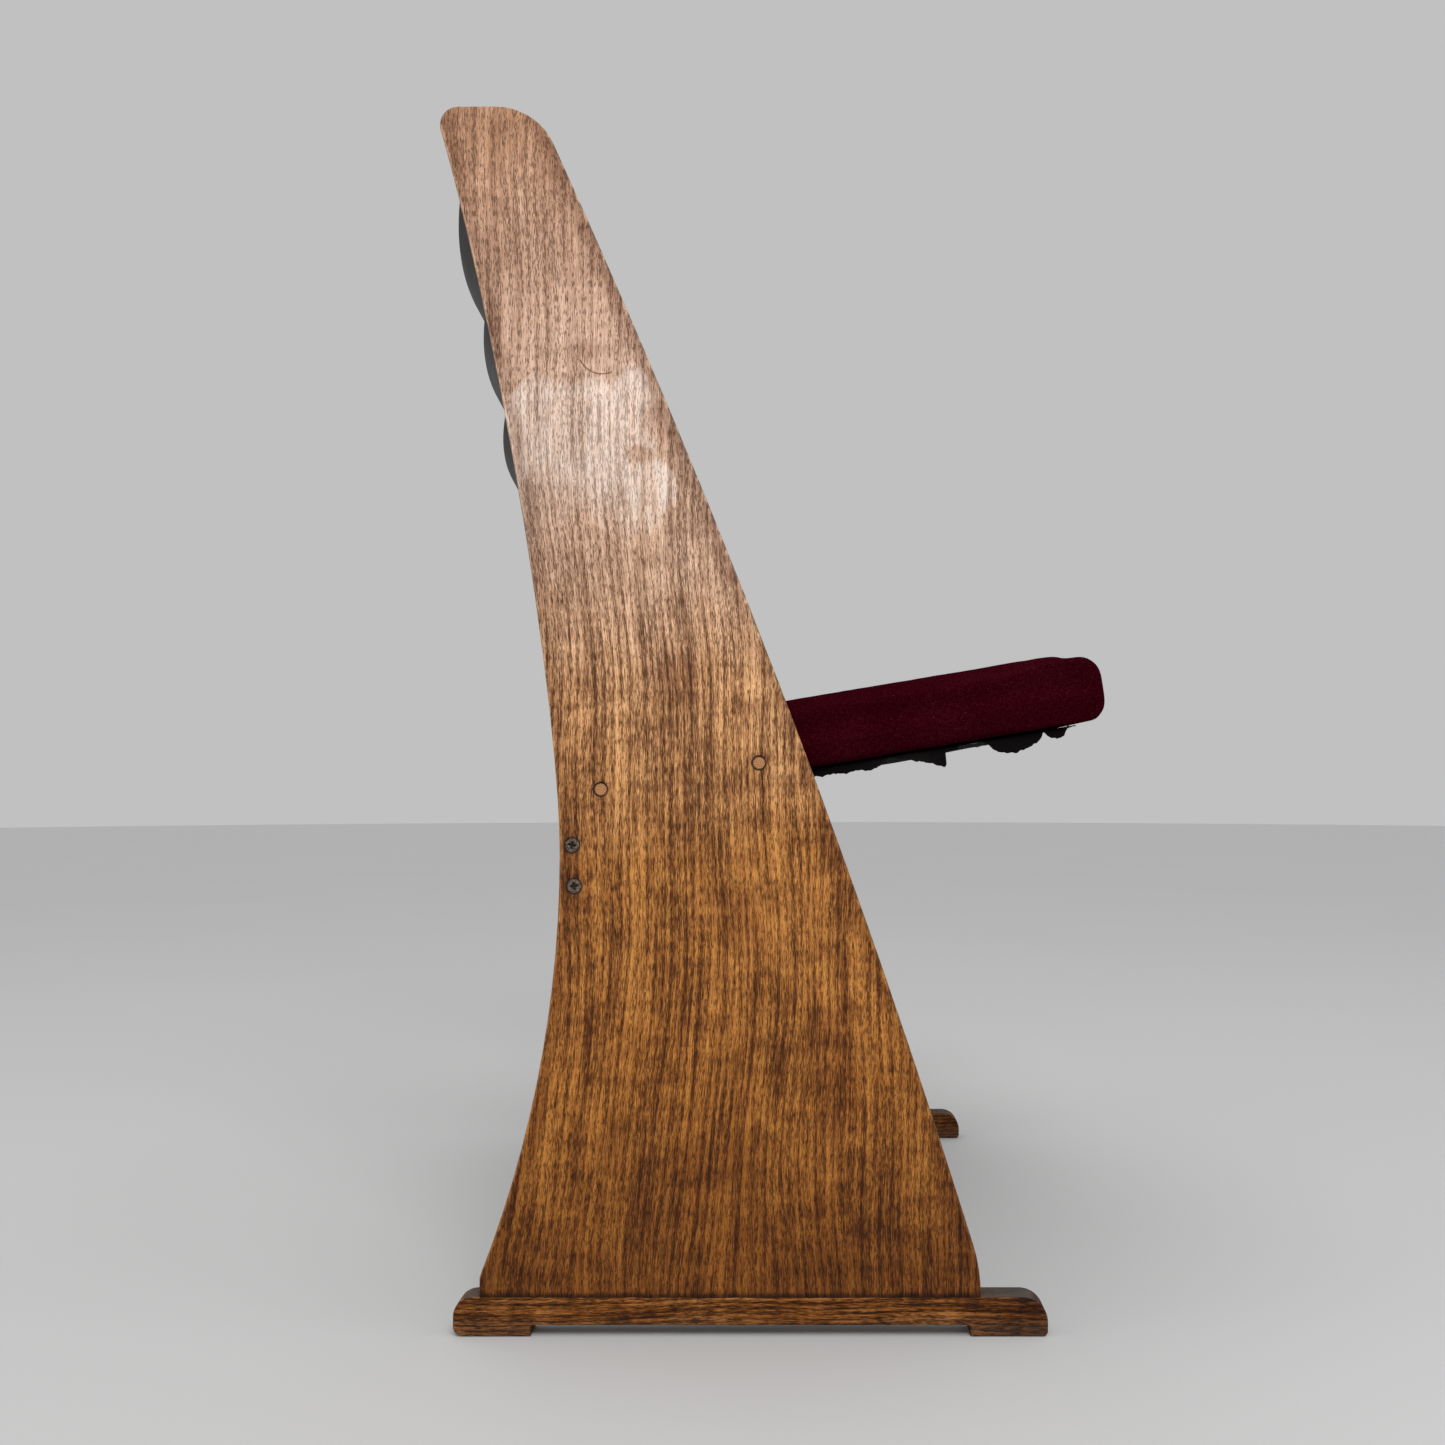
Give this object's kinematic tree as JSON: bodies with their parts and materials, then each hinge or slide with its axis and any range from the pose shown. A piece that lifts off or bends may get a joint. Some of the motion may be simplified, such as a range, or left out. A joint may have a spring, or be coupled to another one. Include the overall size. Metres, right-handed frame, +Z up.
{
  "type": "slat-backed bench seat",
  "caption": "Bench seat: padded, forward-rising seat and bowed back slats fixed between shaped wooden end panels on runner feet.",
  "frame": {"origin": "on the floor, under the middle of the bench's bounding box", "axes": "+Z up, -Y towards the front edge of the seat, +X across the bench to the sitter's left"},
  "size_m": [0.6, 0.513, 0.874],
  "materials": {
    "panel_oak": "satin varnished oak veneer, worn",
    "runner_oak": "satin varnished oak, scuffed",
    "slat_dark": "dark stained, satin",
    "stretcher_oak": "satin varnished oak",
    "board_ply": "bare plywood",
    "foam": "open-cell seat foam",
    "seat_wine_cloth": "woven upholstery cloth",
    "lining_black_cloth": "thin black dust cloth",
    "screw_steel": "dulled steel",
    "plug_wood": "end grain",
    "tack_steel": "blued steel"
  },
  "bodies": {
    "root": {"left_end_panel": "panel_oak", "right_end_panel": "panel_oak", "left_runner": "runner_oak", "right_runner": "runner_oak", "upper_back_slat": "slat_dark", "middle_back_slat": "slat_dark", "lower_back_slat": "slat_dark", "rear_stretcher": "stretcher_oak", "seat_board": "board_ply", "seat_foam": "foam", "seat_cover": "seat_wine_cloth", "seat_lining": "lining_black_cloth", "seat_screws": "screw_steel", "seat_screw_plugs": "plug_wood", "stretcher_screws": "screw_steel", "runner_screws": "screw_steel", "cover_tacks": "tack_steel", "lining_tacks": "tack_steel"}
  },
  "joints": []
}
